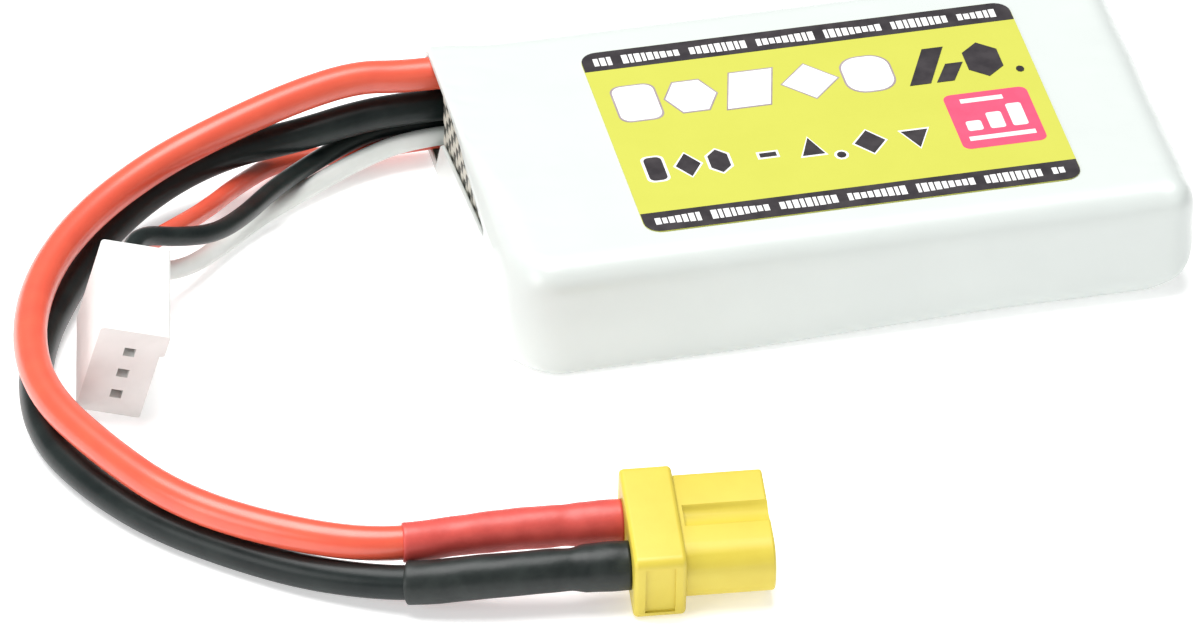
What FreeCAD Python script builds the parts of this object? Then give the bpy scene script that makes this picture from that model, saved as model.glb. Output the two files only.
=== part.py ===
import FreeCAD, Part
import math
import os
import Sketcher
from FreeCAD import Placement, Rotation, Vector

# A two-cell lithium polymer battery pack for small models. The pack lies on its back face: +Z is up,
# +X runs along the pack away from its leads, +Y points away from the side that the leads loop to,
# and the origin is the centre of the pack's underside. All sizes are in millimetres.

SIZES = [
    ("pack_length", 57.0, "shrink wrap, end to end"),
    ("pack_width", 35.0, "shrink wrap, side to side"),
    ("pack_height", 10.5, "shrink wrap, underside to top"),
    ("wrap_wall", 0.35, "shrunk film thickness"),
    ("wrap_corner", 2.3, "outer radius of the wrap's long edges"),
    ("wrap_end_fold", 1.3, "folded film at the closed end"),
    ("end_pad_thickness", 1.6, "foam pad at the closed end"),
    ("end_pad_gap", 1.4, "foam pad to the wrap, above and below"),
    ("lip_height", 5.2, "film folded up over the lower part of the lead end"),
    ("lead_window", 5.0, "part of the lead end that is open from top to bottom"),
    ("label_left", 12.0, "bare wrap beside the sticker, lead end"),
    ("label_right", 8.4, "bare wrap beside the sticker, closed end"),
    ("label_front", 3.8, "bare wrap beside the sticker, front side"),
    ("label_back", 5.0, "bare wrap beside the sticker, back side"),
    ("label_corner", 1.5, "sticker corner radius"),
    ("label_thickness", 0.1, "sticker thickness"),
    ("cell_length", 47.5, "pouch body without its terrace"),
    ("cell_clearance", 0.1, "gap between a pouch and the wrap"),
    ("cell_tape", 0.2, "double-sided tape between the pouches"),
    ("terrace_length", 3.0, "sealed lip at the tab end of a pouch"),
    ("terrace_thickness", 0.4, "sealed lip thickness"),
    ("tab_width", 5.0, "cell tab width"),
    ("tab_thickness", 0.2, "cell tab thickness"),
    ("tab_spacing", 15.0, "distance between the two tabs of a cell"),
    ("board_inset", 1.6, "lead end of the wrap to the tab board"),
    ("board_thickness", 0.8, "tab board thickness"),
    ("board_margin", 0.15, "gap between the tab board and the wrap"),
    ("board_short", 2.2, "how much further the board stays from the wrap's front side"),
    ("insulator_short", 2.9, "the same for the woven board"),
    ("insulator_thickness", 0.6, "woven end board thickness"),
    ("insulator_inset", 0.4, "lead end of the wrap to the woven board"),
    ("tape_length", 8.0, "polyimide tape along the pack"),
    ("tape_width", 24.0, "polyimide tape across the pack"),
    ("tape_thickness", 0.06, "polyimide tape thickness"),
    ("lead_diameter", 2.8, "silicone main lead"),
    ("core_diameter", 1.5, "copper strands of a main lead"),
    ("balance_diameter", 1.6, "silicone balance lead"),
    ("balance_core", 0.7, "copper strands of a balance lead"),
    ("lead_side_margin", 2.2, "main leads' axes to the wrap's back side"),
    ("lead_depth", 1.9, "upper main lead's axis below the wrap's top"),
    ("lead_gap", 0.4, "between the two main leads at the tab board"),
    ("solder_height", 0.4, "solder fillet on the tab board"),
    ("solder_width", 0.45, "solder fillet beyond the strands"),
    ("solder_tip", 0.05, "solder fillet beyond the strands, at its narrow end"),
    ("connector_block_width", 11.3, "connector grip, across"),
    ("connector_block_height", 6.3, "connector grip, through"),
    ("connector_block_length", 4.2, "connector grip, along"),
    ("connector_corner", 0.8, "connector grip corner radius"),
    ("grip_round", 0.4, "rounding of the grip's back and front edges"),
    ("mouth_round", 0.25, "rounding of the barrels' mouth"),
    ("connector_plug_width", 10.2, "connector barrels, across"),
    ("connector_plug_height", 5.2, "connector barrels, through"),
    ("connector_plug_length", 7.2, "connector barrels, along"),
    ("connector_groove_round", 3.0, "diameter of the round valley between the barrels"),
    ("connector_groove_depth", 0.6, "valley depth"),
    ("connector_groove_start", 0.35, "valley's start, from the grip"),
    ("grip_depth", 0.2, "recess in each end of the grip"),
    ("grip_lip", 0.9, "lips before and behind each recess"),
    ("grip_edge", 0.8, "edges above and below each recess"),
    ("contact_pitch", 5.0, "main contact spacing"),
    ("contact_bore", 2.0, "main contact socket"),
    ("contact_outer", 2.8, "main contact outside"),
    ("contact_depth", 7.0, "main contact socket depth"),
    ("contact_recess", 0.2, "main contact behind the connector's mouth"),
    ("cup_outer", 3.2, "solder cup outside"),
    ("cup_bore", 2.0, "solder cup inside"),
    ("cup_length", 4.0, "solder cup behind the grip"),
    ("cup_floor", 0.5, "solder cup bottom"),
    ("cup_gap", 0.3, "solder cup to the lead's insulation"),
    ("sleeve_wall", 0.3, "heat-shrink sleeve"),
    ("sleeve_play", 0.03, "sleeve to what it grips"),
    ("sleeve_taper", 1.0, "sleeve's cone between lead and cup"),
    ("balance_pitch", 2.5, "balance contact spacing"),
    ("balance_row", 9.8, "balance housing along its row"),
    ("balance_thick", 5.35, "balance housing across its row"),
    ("balance_length", 9.8, "balance housing, mouth to back"),
    ("balance_rail", 0.4, "polarising rail proud of the housing"),
    ("balance_rail_width", 2.4, "polarising rail along the row"),
    ("balance_rim", 0.3, "rim round the back of the housing"),
    ("balance_rim_length", 1.4, "rim length"),
    ("balance_cavity", 1.75, "contact cavity, square"),
    ("balance_mouth", 0.95, "pin opening, square"),
    ("balance_face", 1.0, "front wall of the housing"),
    ("balance_edge", 0.3, "housing edge radius"),
    ("contact_play", 0.05, "balance contact in its cavity"),
    ("balance_socket", 0.8, "balance contact opening, square"),
    ("balance_socket_length", 5.9, "balance contact opening, depth"),
]

# Where the main connector and the balance housing lie, from the corner of the pack that the leads
# leave by, and how they are turned, in degrees. The connector rests on one long edge of its grip.
CONNECTOR_BACK = (3.15, -60.75)
CONNECTOR_ROLL = 8.0
CONNECTOR_YAW = -5.6
BALANCE_FRONT = Vector(-31.92, -31.69, 5.35)
BALANCE_TIP = 13.4
BALANCE_LEAN = 11.5
BALANCE_TURN = 78.8

# Each lead's axis where it meets the tab board: how far it lies from the main leads' plane, and
# its height above the pack's underside.
EXITS = {
    "main_lead_red": ("0", "Sizes.pack_height - Sizes.lead_depth"),
    "main_lead_black": ("0", "Sizes.pack_height - Sizes.lead_depth - Sizes.lead_diameter - Sizes.lead_gap"),
    "balance_lead_black": ("0.9", "3.05"),
    "balance_lead_red": ("0.6", "1.45"),
    "balance_lead_white": ("-0.7", "2.7"),
}

# The free lie of each lead from just outside the pack to just short of its contact, from the same
# corner of the pack.
ROUTES = {
    "main_lead_red": [
        (-6.1, 0.3, 9.0), (-11.5, -0.8, 8.6), (-17.9, -2.9, 7.8), (-24.5, -5.3, 6.6),
        (-31.0, -9.8, 5.5), (-35.8, -16.1, 4.8), (-38.5, -24.1, 4.5), (-38.5, -32.3, 4.5),
        (-35.2, -40.3, 4.4), (-30.7, -48.1, 4.3), (-23.8, -53.9, 4.3), (-15.9, -57.8, 4.3)],
    "main_lead_black": [
        (-6.1, -0.2, 5.3), (-11.5, -1.3, 4.9), (-17.7, -1.4, 4.3), (-23.9, -3.6, 3.2),
        (-29.5, -8.1, 2.1), (-33.3, -13.9, 1.5), (-36.7, -20.3, 1.4), (-38.5, -27.1, 1.4),
        (-38.7, -33.9, 1.4), (-36.2, -40.7, 1.4), (-32.3, -46.8, 1.4), (-27.0, -52.0, 1.4),
        (-21.2, -56.7, 1.6), (-14.3, -60.5, 2.3)],
    "balance_lead_black": [
        (-5.9, 0.6, 2.8), (-10.7, -1.9, 2.3), (-14.8, -6.7, 3.6), (-18.2, -12.1, 5.2),
        (-21.3, -15.8, 6.5), (-24.7, -17.7, 8.0), (-27.7, -19.0, 9.6)],
    "balance_lead_red": [
        (-6.9, 0.9, 0.9), (-12.7, 0.9, 1.1), (-17.1, -3.4, 2.2), (-20.9, -9.5, 4.4),
        (-24.9, -14.3, 6.2), (-28.1, -17.9, 7.5)],
    "balance_lead_white": [
        (-6.5, -1.5, 1.8), (-11.5, -3.8, 1.1), (-15.8, -6.4, 0.9), (-19.7, -10.1, 1.1),
        (-22.9, -13.5, 1.9), (-25.9, -15.5, 3.1), (-28.7, -17.2, 4.5)],
}
BALANCE_ROWS = {"balance_lead_black": 1, "balance_lead_red": 0, "balance_lead_white": -1}
MAIN_SIDES = {"main_lead_red": 1, "main_lead_black": -1}

# Straight runs at the leads' ends; the share of a run that an arc may take; the share of a lead's
# last bend but one that its sleeve covers; a barrel's corner radius over its height; tolerances.
BALANCE_STUB = 2.0
MAIN_BOARD_RUN = 3.8
BALANCE_BOARD_RUN = 3.6
CUP_RUN = 6.6
ARC_SHARE = 0.45
SLEEVE_BEND = 0.25
BARREL_ROUNDING = 0.42
NEAR = 0.01
TINY = 1e-6

doc = FreeCAD.newDocument("LipoPack")
sheet = doc.addObject("Spreadsheet::Sheet", "Sizes")
for line, (alias, value, note) in enumerate(SIZES, start=1):
    sheet.set(f"A{line}", note)
    sheet.set(f"B{line}", str(value))
    sheet.setAlias(f"B{line}", alias)
doc.recompute()

sub_parts = []


def size(alias):
    """A driving dimension, read from the sheet."""
    return float(sheet.get(alias))


def keep(obj, node):
    """Name a finished sub-part and put it on the list of files."""
    obj.Label = node
    sub_parts.append(obj)
    return obj


# ---------------------------------------------------------------- sketches and features

def new_body(node):
    body = doc.addObject("PartDesign::Body", node + "_body")
    return keep(body, node)


def new_sketch(body, name, plane, centre):
    """A sketch on one of the body's own planes, moved to centre (three expressions)."""
    sketch = body.newObject("Sketcher::SketchObject", name)
    planes = {feature.Role: feature for feature in body.Origin.OriginFeatures}
    sketch.AttachmentSupport = [(planes[plane], "")]
    sketch.MapMode = "FlatFace"
    for axis, expression in zip("xyz", centre):
        sketch.setExpression(f".AttachmentOffset.Base.{axis}", expression)
    return sketch


def rectangle(sketch, width, height):
    """Plain rectangle centred on the sketch's origin."""
    w = float(sketch.evalExpression(width)) / 2
    h = float(sketch.evalExpression(height)) / 2
    corners = [Vector(-w, -h), Vector(w, -h), Vector(w, h), Vector(-w, h)]
    for i in range(4):
        sketch.addGeometry(Part.LineSegment(corners[i], corners[(i + 1) % 4]), False)
    for i in range(4):
        sketch.addConstraint(Sketcher.Constraint("Coincident", i, 2, (i + 1) % 4, 1))
    for i, kind in enumerate(["Horizontal", "Vertical", "Horizontal", "Vertical"]):
        sketch.addConstraint(Sketcher.Constraint(kind, i))
    sketch.addConstraint(Sketcher.Constraint("Symmetric", 0, 1, 2, 1, -1, 1))
    name_sizes(sketch, [("DistanceX", 0, 1, 0, 2, 2 * w, "width", width),
                        ("DistanceY", 1, 1, 1, 2, 2 * h, "height", height)])


def rounded(sketch, width, height, radius):
    """Rectangle with round corners, centred on the sketch's origin."""
    w = float(sketch.evalExpression(width)) / 2
    h = float(sketch.evalExpression(height)) / 2
    r = float(sketch.evalExpression(radius))
    ends = [(Vector(-w + r, -h), Vector(w - r, -h)), (Vector(w, -h + r), Vector(w, h - r)),
            (Vector(w - r, h), Vector(-w + r, h)), (Vector(-w, h - r), Vector(-w, -h + r))]
    for start, end in ends:
        sketch.addGeometry(Part.LineSegment(start, end), False)
    centres = [Vector(w - r, -h + r), Vector(w - r, h - r), Vector(-w + r, h - r), Vector(-w + r, -h + r)]
    quarter = Part.Circle(Vector(0, 0, 0), Vector(0, 0, 1), r)
    for i, centre in enumerate(centres):
        quarter.Center = centre
        start_angle = (i - 1) * 0.5 * math.pi
        arc = Part.ArcOfCircle(quarter, start_angle, start_angle + 0.5 * math.pi)
        sketch.addGeometry(arc, False)
    for i in range(4):
        sketch.addConstraint(Sketcher.Constraint("Tangent", i, 2, 4 + i, 1))
        sketch.addConstraint(Sketcher.Constraint("Tangent", 4 + i, 2, (i + 1) % 4, 1))
    for i, kind in enumerate(["Horizontal", "Vertical", "Horizontal", "Vertical"]):
        sketch.addConstraint(Sketcher.Constraint(kind, i))
    for i in range(4, 7):
        sketch.addConstraint(Sketcher.Constraint("Equal", i, i + 1))
    sketch.addConstraint(Sketcher.Constraint("Symmetric", 4, 3, 6, 3, -1, 1))
    name_sizes(sketch, [("DistanceX", 3, 1, 1, 1, 2 * w, "width", width),
                        ("DistanceY", 0, 1, 2, 1, 2 * h, "height", height),
                        ("Radius", 4, r, "radius", radius)])


def circles(sketch, diameter, places):
    """Equal circles; places are pairs of expressions in the sketch's own axes."""
    d = float(sketch.evalExpression(diameter))
    for i, (x, y) in enumerate(places):
        px = float(sketch.evalExpression(x))
        py = float(sketch.evalExpression(y))
        sketch.addGeometry(Part.Circle(Vector(px, py, 0), Vector(0, 0, 1), d / 2), False)
        name_sizes(sketch, [("Diameter", i, d, f"diameter{i}", diameter)])
        place_point(sketch, i, px, f"across{i}", x, "DistanceX")
        place_point(sketch, i, py, f"up{i}", y, "DistanceY")


def place_point(sketch, circle, value, name, expression, kind):
    """Fix one coordinate of a circle's centre; a centre on an axis is held there."""
    if abs(value) < TINY:
        axis = -2 if kind == "DistanceX" else -1
        sketch.addConstraint(Sketcher.Constraint("PointOnObject", circle, 3, axis))
        return
    name_sizes(sketch, [(kind, -1, 1, circle, 3, value, name, expression)])


def name_sizes(sketch, rows):
    for row in rows:
        index = sketch.addConstraint(Sketcher.Constraint(*row[:-2]))
        sketch.renameConstraint(index, row[-2])
        sketch.setExpression(f"Constraints.{row[-2]}", row[-1])


def pad(body, sketch, length):
    feature = body.newObject("PartDesign::Pad", sketch.Name + "_pad")
    feature.Profile = sketch
    feature.setExpression("Length", length)
    doc.recompute()
    return feature


def pocket(body, sketch, length):
    """Cut along the sketch's normal, and check that something was cut."""
    before = body.Shape.Volume
    feature = body.newObject("PartDesign::Pocket", sketch.Name + "_pocket")
    feature.Profile = sketch
    feature.Reversed = True
    feature.setExpression("Length", length)
    doc.recompute()
    if body.Shape.Volume > before - TINY:
        raise RuntimeError(f"{feature.Name} cuts nothing")
    return feature


def lies_across(edge, place):
    """Whether an edge lies in the plane X = place."""
    return all(abs(vertex.X - place) < NEAR for vertex in edge.Vertexes)


def round_edges(body, radius, wanted):
    """Fillet the edges of the body's tip for which wanted(edge) is true."""
    tip = body.Tip
    names = [f"Edge{i}" for i, edge in enumerate(tip.Shape.Edges, start=1) if wanted(edge)]
    feature = body.newObject("PartDesign::Fillet", body.Name + "_round")
    feature.Base = (tip, names)
    feature.setExpression("Radius", radius)
    doc.recompute()
    return feature


# ---------------------------------------------------------------- primitives

def block(name, low, dims):
    """Box from its low corner; low and dims are expressions."""
    box = doc.addObject("Part::Box", name)
    for prop, expression in zip(("Length", "Width", "Height"), dims):
        box.setExpression(prop, expression)
    for axis, expression in zip("xyz", low):
        box.setExpression(f".Placement.Base.{axis}", expression)
    return box


def rod(name, diameter, length, start):
    """Cylinder along +X from start; all sizes are expressions."""
    cylinder = doc.addObject("Part::Cylinder", name)
    cylinder.Placement.Rotation = Rotation(Vector(0, 1, 0), 90)
    cylinder.setExpression("Radius", f"({diameter}) / 2")
    cylinder.setExpression("Height", length)
    for axis, expression in zip("xyz", start):
        cylinder.setExpression(f".Placement.Base.{axis}", expression)
    return cylinder


def cone(name, wide, narrow, length, start):
    """Cone along +X from its wide end."""
    shape = doc.addObject("Part::Cone", name)
    shape.Placement.Rotation = Rotation(Vector(0, 1, 0), 90)
    shape.setExpression("Radius1", f"({wide}) / 2")
    shape.setExpression("Radius2", f"({narrow}) / 2")
    shape.setExpression("Height", length)
    for axis, expression in zip("xyz", start):
        shape.setExpression(f".Placement.Base.{axis}", expression)
    return shape


def cut(name, base, tool):
    result = doc.addObject("Part::Cut", name)
    result.Base = base
    result.Tool = tool
    return result


def group(node, members):
    """One sub-part of several separate equal solids."""
    compound = doc.addObject("Part::Compound", node + "_group")
    compound.Links = members
    return keep(compound, node)


# ---------------------------------------------------------------- places shared by several pieces

LEFT = "-Sizes.pack_length / 2"
BOARD_FACE = "(-Sizes.pack_length / 2 + Sizes.board_inset)"
BOARD_BACK = "(-Sizes.pack_length / 2 + Sizes.board_inset + Sizes.board_thickness)"
INNER_WIDTH = "(Sizes.pack_width - 2 * Sizes.wrap_wall)"
INNER_HEIGHT = "(Sizes.pack_height - 2 * Sizes.wrap_wall)"
INNER_RIGHT = "(Sizes.pack_length / 2 - Sizes.wrap_end_fold)"
LEAD_PLANE = "(Sizes.pack_width / 2 - Sizes.lead_side_margin)"
CELL_THICKNESS = f"(({INNER_HEIGHT} - 2 * Sizes.cell_clearance - Sizes.cell_tape) / 2)"
CELL_WIDTH = f"({INNER_WIDTH} - 2 * Sizes.cell_clearance)"
CELL_CORNER = "(Sizes.wrap_corner - Sizes.wrap_wall - Sizes.cell_clearance)"
CELL_RIGHT = f"({INNER_RIGHT} - Sizes.end_pad_thickness)"
CELL_LEFT = f"({CELL_RIGHT} - Sizes.cell_length)"
CELL_BOTTOMS = {
    "lower": "(Sizes.wrap_wall + Sizes.cell_clearance)",
    "upper": f"(Sizes.wrap_wall + Sizes.cell_clearance + {CELL_THICKNESS} + Sizes.cell_tape)",
}


def lead_corner():
    """The foot of the main leads' plane at the pack's lead end."""
    return Vector(-size("pack_length") / 2, size("pack_width") / 2 - size("lead_side_margin"), 0)


def exit_expressions(lead):
    """Where a lead's axis meets the tab board: y and z as expressions."""
    across, up = EXITS[lead]
    return f"({LEAD_PLANE} + {across})", up


def core_size(lead):
    return "Sizes.core_diameter" if lead in MAIN_SIDES else "Sizes.balance_core"


# ---------------------------------------------------------------- wrap and label

def make_wrap():
    body = new_body("wrap")
    outer = new_sketch(body, "wrap_outer", "YZ_Plane", ("0", "Sizes.pack_height / 2", LEFT))
    rounded(outer, "Sizes.pack_width", "Sizes.pack_height", "Sizes.wrap_corner")
    pad(body, outer, "Sizes.pack_length")
    right = size("pack_length") / 2
    round_edges(body, "Sizes.wrap_corner", lambda edge: lies_across(edge, right))
    inner = new_sketch(body, "wrap_inner", "YZ_Plane",
                       ("0", "Sizes.pack_height / 2", f"{LEFT} + Sizes.wrap_wall"))
    rounded(inner, INNER_WIDTH, INNER_HEIGHT, "Sizes.wrap_corner - Sizes.wrap_wall")
    pocket(body, inner, "Sizes.pack_length - Sizes.wrap_wall - Sizes.wrap_end_fold")
    strip_height = f"({INNER_HEIGHT} + Sizes.wrap_wall - Sizes.lip_height)"
    strip = new_sketch(body, "board_window", "YZ_Plane",
                       ("0", f"Sizes.lip_height + {strip_height} / 2", LEFT))
    rectangle(strip, f"{INNER_WIDTH} - 2 * Sizes.wrap_corner", strip_height)
    pocket(body, strip, "Sizes.wrap_wall")
    leads = new_sketch(body, "leads_window", "YZ_Plane",
                       (f"({INNER_WIDTH} - Sizes.lead_window) / 2", "Sizes.pack_height / 2", LEFT))
    rounded(leads, "Sizes.lead_window", INNER_HEIGHT, "Sizes.wrap_corner - Sizes.wrap_wall")
    pocket(body, leads, "Sizes.wrap_wall")


def make_label():
    body = new_body("label")
    middle = ("(Sizes.label_left - Sizes.label_right) / 2", "(Sizes.label_front - Sizes.label_back) / 2",
              "Sizes.pack_height")
    sketch = new_sketch(body, "label_outline", "XY_Plane", middle)
    rounded(sketch, "Sizes.pack_length - Sizes.label_left - Sizes.label_right",
            "Sizes.pack_width - Sizes.label_front - Sizes.label_back", "Sizes.label_corner")
    pad(body, sketch, "Sizes.label_thickness")


# ---------------------------------------------------------------- cells and what joins them

def make_cell(side):
    body = new_body(f"cell_{side}")
    bottom = CELL_BOTTOMS[side]
    middle = f"{bottom} + {CELL_THICKNESS} / 2"
    pouch = new_sketch(body, f"pouch_{side}", "YZ_Plane", ("0", middle, CELL_LEFT))
    rounded(pouch, CELL_WIDTH, CELL_THICKNESS, CELL_CORNER)
    pad(body, pouch, "Sizes.cell_length")
    terrace = new_sketch(body, f"terrace_{side}", "YZ_Plane",
                         ("0", middle, f"{CELL_LEFT} - Sizes.terrace_length"))
    rectangle(terrace, f"{CELL_WIDTH} - 2 * {CELL_CORNER}", "Sizes.terrace_thickness")
    pad(body, terrace, "Sizes.terrace_length")


def make_tab(side, pole):
    direction = {"positive": 1, "negative": -1}[pole] * {"upper": 1, "lower": -1}[side]
    terrace_left = f"({CELL_LEFT} - Sizes.terrace_length)"
    low = (BOARD_BACK, f"{direction} * Sizes.tab_spacing / 2 - Sizes.tab_width / 2",
           f"{CELL_BOTTOMS[side]} + {CELL_THICKNESS} / 2 - Sizes.tab_thickness / 2")
    tab = block(f"tab_{side}_{pole}_strip", low,
                (f"{terrace_left} - {BOARD_BACK}", "Sizes.tab_width", "Sizes.tab_thickness"))
    keep(tab, f"tab_{side}_{pole}")


def make_cell_tape():
    low = (CELL_LEFT, f"-({CELL_WIDTH} / 2 - {CELL_CORNER})", f"{CELL_BOTTOMS['lower']} + {CELL_THICKNESS}")
    tape = block("tape_between_cells", low,
                 ("Sizes.cell_length", f"{CELL_WIDTH} - 2 * {CELL_CORNER}", "Sizes.cell_tape"))
    keep(tape, "cell_tape")


def make_end_pad():
    low = (CELL_RIGHT, f"-({CELL_WIDTH} / 2 - {CELL_CORNER})", "Sizes.wrap_wall + Sizes.end_pad_gap")
    foam = block("foam_block", low,
                 ("Sizes.end_pad_thickness", f"{CELL_WIDTH} - 2 * {CELL_CORNER}",
                  f"{INNER_HEIGHT} - 2 * Sizes.end_pad_gap"))
    keep(foam, "end_pad")


def make_insulating_tape():
    low = (CELL_LEFT, "-Sizes.tape_width / 2", f"{CELL_BOTTOMS['upper']} + {CELL_THICKNESS}")
    tape = block("polyimide_strip", low, ("Sizes.tape_length", "Sizes.tape_width", "Sizes.tape_thickness"))
    keep(tape, "insulating_tape")


def make_tab_board():
    body = new_body("tab_board")
    sketch = new_sketch(body, "board_outline", "YZ_Plane",
                        ("Sizes.board_short / 2", "Sizes.pack_height / 2", BOARD_FACE))
    rounded(sketch, f"{INNER_WIDTH} - 2 * Sizes.board_margin - Sizes.board_short",
            f"{INNER_HEIGHT} - 2 * Sizes.board_margin",
            "Sizes.wrap_corner - Sizes.wrap_wall - Sizes.board_margin")
    pad(body, sketch, "Sizes.board_thickness")
    for diameter, leads in (("Sizes.core_diameter", MAIN_SIDES), ("Sizes.balance_core", BALANCE_ROWS)):
        holes = new_sketch(body, diameter.split(".")[1] + "_holes", "YZ_Plane", ("0", "0", BOARD_FACE))
        circles(holes, diameter, [exit_expressions(lead) for lead in leads])
        pocket(body, holes, "Sizes.board_thickness")


def make_board_solder():
    """A small cone of solder round each core, behind the tab board."""
    fillets = []
    for lead in EXITS:
        y, z = exit_expressions(lead)
        core = core_size(lead)
        fillet = cone(f"fillet_{lead}", f"{core} + 2 * Sizes.solder_width", f"{core} + 2 * Sizes.solder_tip",
                      "Sizes.solder_height", (BOARD_BACK, y, z))
        hole = rod(f"fillet_hole_{lead}", core, "Sizes.solder_height", (BOARD_BACK, y, z))
        fillets.append(cut(f"fillet_ring_{lead}", fillet, hole))
    group("board_solder", fillets)


def make_end_insulator():
    width = f"({INNER_WIDTH} - Sizes.lead_window - 2 * Sizes.board_margin - Sizes.insulator_short)"
    body = new_body("end_insulator")
    middle = ("(Sizes.insulator_short - Sizes.lead_window) / 2", "Sizes.pack_height / 2",
              f"{LEFT} + Sizes.insulator_inset")
    sketch = new_sketch(body, "woven_board", "YZ_Plane", middle)
    rounded(sketch, width, f"{INNER_HEIGHT} - 2 * Sizes.board_margin",
            "Sizes.wrap_corner - Sizes.wrap_wall - Sizes.board_margin")
    pad(body, sketch, "Sizes.insulator_thickness")


# ---------------------------------------------------------------- main connector

def connector_placement():
    """The middle of the grip's back, at the height that rests its lower long edge on the ground."""
    roll = math.radians(CONNECTOR_ROLL)
    corner = size("connector_corner")
    half_width = size("connector_block_width") / 2 - corner
    half_height = size("connector_block_height") / 2 - corner
    height = half_width * math.sin(roll) + half_height * math.cos(roll) + corner
    back = lead_corner() + Vector(*CONNECTOR_BACK, height)
    yaw = Rotation(Vector(0, 0, 1), CONNECTOR_YAW)
    return Placement(back, yaw.multiply(Rotation(Vector(1, 0, 0), CONNECTOR_ROLL)))


def make_connector_housing():
    """Grip and two joined barrels, built along +X from the back of the grip."""
    body = new_body("connector_housing")
    grip = new_sketch(body, "grip", "YZ_Plane", ("0", "0", "0"))
    rounded(grip, "Sizes.connector_block_width", "Sizes.connector_block_height", "Sizes.connector_corner")
    pad(body, grip, "Sizes.connector_block_length")
    length = size("connector_block_length")
    round_edges(body, "Sizes.grip_round", lambda edge: lies_across(edge, 0) or lies_across(edge, length))
    plug = new_sketch(body, "barrels", "YZ_Plane", ("0", "0", "Sizes.connector_block_length"))
    rounded(plug, "Sizes.connector_plug_width", "Sizes.connector_plug_height",
            f"{BARREL_ROUNDING} * Sizes.connector_plug_height")
    pad(body, plug, "Sizes.connector_plug_length")
    square = new_sketch(body, "square_end", "YZ_Plane",
                        ("Sizes.connector_plug_width / 4", "0", "Sizes.connector_block_length"))
    rounded(square, "Sizes.connector_plug_width / 2", "Sizes.connector_plug_height",
            "Sizes.connector_corner")
    pad(body, square, "Sizes.connector_plug_length")
    mouth = length + size("connector_plug_length")
    round_edges(body, "Sizes.mouth_round", lambda edge: lies_across(edge, mouth))
    for side, sign in (("top", "1"), ("bottom", "-1")):
        middle = (f"{sign} * (Sizes.connector_plug_height / 2 - Sizes.connector_groove_depth"
                  " + Sizes.connector_groove_round / 2)")
        groove = new_sketch(body, f"groove_{side}", "YZ_Plane",
                            ("0", "0", "Sizes.connector_block_length + Sizes.connector_groove_start"))
        circles(groove, "Sizes.connector_groove_round", [("0", middle)])
        pocket(body, groove, "Sizes.connector_plug_length - Sizes.connector_groove_start")
    for side, sign in (("back", "1"), ("front", "-1")):
        middle = f"{sign} * (Sizes.connector_block_width - Sizes.grip_depth) / 2"
        recess = new_sketch(body, f"grip_{side}", "YZ_Plane", (middle, "0", "Sizes.grip_lip"))
        rectangle(recess, "Sizes.grip_depth", "Sizes.connector_block_height - 2 * Sizes.grip_edge")
        pocket(body, recess, "Sizes.connector_block_length - 2 * Sizes.grip_lip")
    bores = new_sketch(body, "contact_bores", "YZ_Plane", ("0", "0", "0"))
    circles(bores, "Sizes.contact_outer",
            [("Sizes.contact_pitch / 2", "0"), ("-Sizes.contact_pitch / 2", "0")])
    pocket(body, bores, "Sizes.connector_block_length + Sizes.connector_plug_length")
    body.Placement = connector_placement()


def make_contact(pole, side):
    """Socket, barrel and solder cup of one main contact, turned about its own axis."""
    body = new_body(f"contact_{pole}")
    middle = f"{side} * Sizes.contact_pitch / 2"
    shank = new_sketch(body, f"shank_{pole}", "YZ_Plane", ("0", "0", "0"))
    circles(shank, "Sizes.contact_outer", [(middle, "0")])
    pad(body, shank, "Sizes.connector_block_length + Sizes.connector_plug_length - Sizes.contact_recess")
    cup = new_sketch(body, f"cup_{pole}", "YZ_Plane", ("0", "0", "-Sizes.cup_length"))
    circles(cup, "Sizes.cup_outer", [(middle, "0")])
    pad(body, cup, "Sizes.cup_length")
    socket_start = ("Sizes.connector_block_length + Sizes.connector_plug_length"
                    " - Sizes.contact_recess - Sizes.contact_depth")
    socket = new_sketch(body, f"socket_{pole}", "YZ_Plane", ("0", "0", socket_start))
    circles(socket, "Sizes.contact_bore", [(middle, "0")])
    pocket(body, socket, "Sizes.contact_depth")
    cup_hole = new_sketch(body, f"cup_hole_{pole}", "YZ_Plane", ("0", "0", "-Sizes.cup_length"))
    circles(cup_hole, "Sizes.cup_bore", [(middle, "0")])
    pocket(body, cup_hole, "Sizes.cup_length - Sizes.cup_floor")
    body.Placement = connector_placement()


def contact_axis(lead, along):
    """A point on a main contact's axis, along mm from the back of the grip."""
    return connector_placement().multVec(Vector(along, MAIN_SIDES[lead] * size("contact_pitch") / 2, 0))


def make_cup_solder():
    """Solder between each cup and the strands in it."""
    fills = []
    depth = "Sizes.cup_length - Sizes.cup_floor"
    for lead, side in MAIN_SIDES.items():
        place = ("-Sizes.cup_length", f"{side} * Sizes.contact_pitch / 2", "0")
        outer = rod(f"cup_fill_{lead}", "Sizes.cup_bore", depth, place)
        inner = rod(f"cup_core_{lead}", "Sizes.core_diameter", depth, place)
        fills.append(cut(f"cup_ring_{lead}", outer, inner))
    group("cup_solder", fills).Placement = connector_placement()


# ---------------------------------------------------------------- balance connector

def balance_placement():
    turn = Rotation(Vector(1, 0, 0), BALANCE_TIP).multiply(Rotation(Vector(0, 1, 0), BALANCE_LEAN))
    return Placement(lead_corner() + BALANCE_FRONT, turn.multiply(Rotation(Vector(0, 0, 1), BALANCE_TURN)))


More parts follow.
